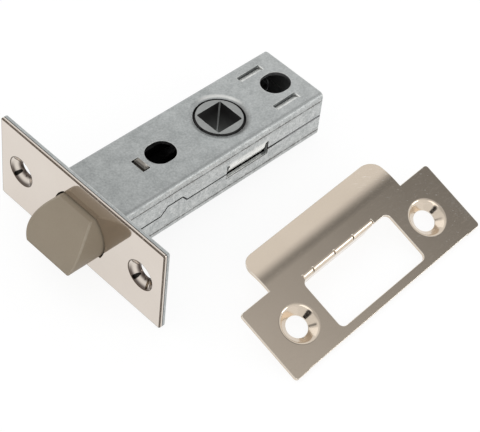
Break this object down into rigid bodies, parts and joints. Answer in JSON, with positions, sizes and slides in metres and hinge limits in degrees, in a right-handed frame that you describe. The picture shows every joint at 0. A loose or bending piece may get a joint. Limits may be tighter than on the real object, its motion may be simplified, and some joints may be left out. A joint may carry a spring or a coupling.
{
  "type": "tubular door latch with strike plate",
  "caption": "Tubular mortice door latch: bevelled spring bolt, square spindle hole, through-bolt holes and forend, with a strike plate whose lip is curved and cut-out has bent tongues.",
  "frame": {"origin": "centre of the faceplate's front face, on the bolt's centre line", "axes": "+X into the door along the case, away from the bolt's tip; +Y along the faceplate; +Z along the spindle, towards the side that the bolt's bevel faces"},
  "size_m": [0.0884, 0.0906, 0.0252],
  "materials": {
    "polished_nickel": "polished nickel plate",
    "zinc_plated_steel": "dull zinc plate",
    "cast_zinc": "matte, as cast",
    "moulded_plastic": "matte",
    "spring_steel": "drawn wire"
  },
  "bodies": {
    "case": {"faceplate_trim": "polished_nickel", "forend_plate": "zinc_plated_steel", "case_upper": "zinc_plated_steel", "case_lower": "zinc_plated_steel", "spring_seat": "moulded_plastic", "bolt_spring": "spring_steel", "return_spring_left": "spring_steel", "return_spring_right": "spring_steel", "strike_plate": "polished_nickel"},
    "bolt": {"latch_bolt": "cast_zinc", "bolt_carriage": "zinc_plated_steel"},
    "follower": {"follower": "cast_zinc"}
  },
  "joints": [
    {"name": "bolt_slide", "type": "slide", "parent": "case", "child": "bolt", "axis": [1, 0, 0], "range_m": [0, 0.00948], "stiffness_N_per_m": 1100, "springref_m": -0.0055, "deforming": ["bolt_spring", "return_spring_left", "return_spring_right"]},
    {"name": "follower_turn", "type": "hinge", "parent": "case", "child": "follower", "pos_m": [0.045, 0, 0], "axis": [0, 0, 1], "range_deg": [0, 66.05]}
  ],
  "couplings": [
    {"joint": "follower_turn", "follows": "bolt_slide", "rad_per_m": 121.5}
  ]
}
